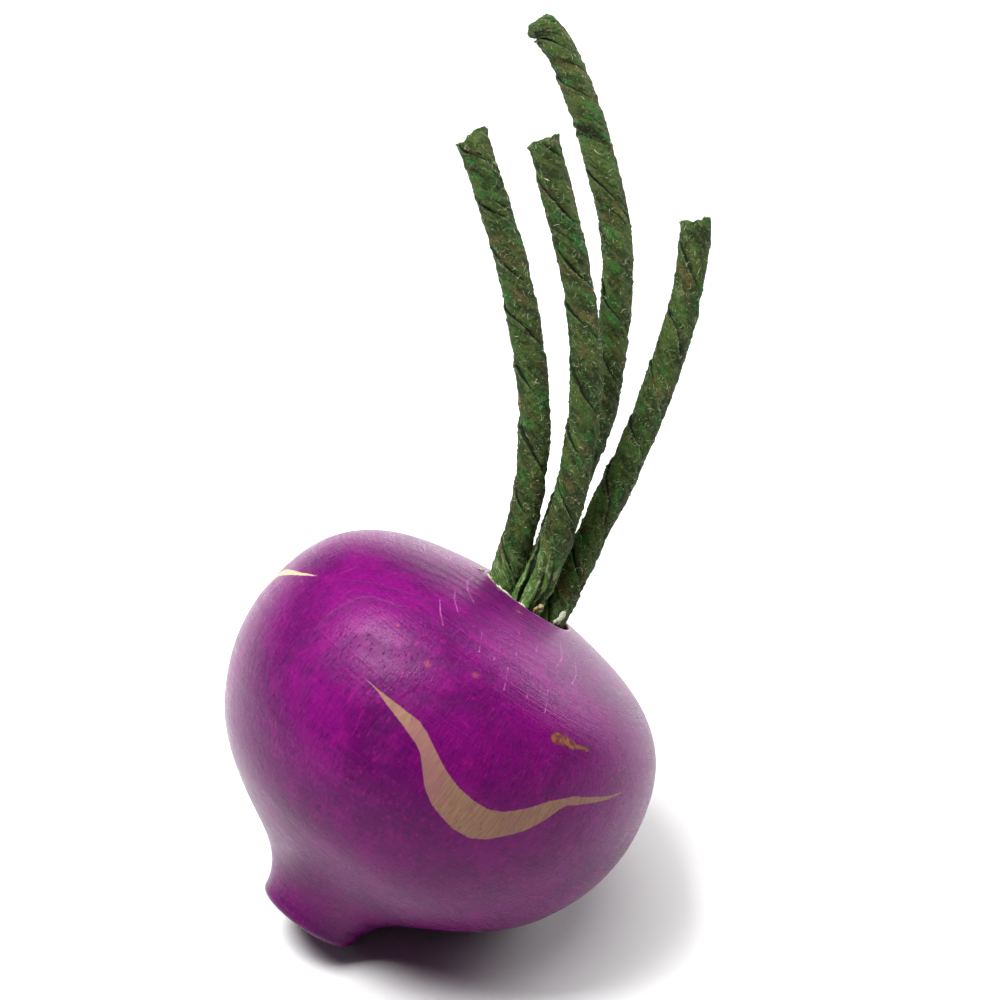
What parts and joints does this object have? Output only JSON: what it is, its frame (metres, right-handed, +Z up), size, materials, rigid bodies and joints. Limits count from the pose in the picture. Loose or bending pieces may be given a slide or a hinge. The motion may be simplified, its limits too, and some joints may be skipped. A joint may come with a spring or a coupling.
{
  "type": "toy wooden beetroot",
  "caption": "Play-food beetroot: a turned, violet-stained wooden root with a tail stub, lying tipped on small flats, with stiff twisted green paper-cord stalks glued in its crown.",
  "frame": {"origin": "middle of the bounding box's bottom face, on the surface the toy rests on", "axes": "+Z up as the toy lies at rest; -Y towards the tail and the viewer; the crown and its stalks lean to +X and +Y"},
  "size_m": [0.0599, 0.0856, 0.095],
  "materials": {
    "stained_wood": "violet stain under satin varnish",
    "green_paper": "matte",
    "dried_glue": "satin"
  },
  "bodies": {
    "root": {"body": "stained_wood", "stalk_left": "green_paper", "stalk_centre": "green_paper", "stalk_tall": "green_paper", "stalk_right": "green_paper", "glue_plug": "dried_glue"}
  },
  "joints": []
}
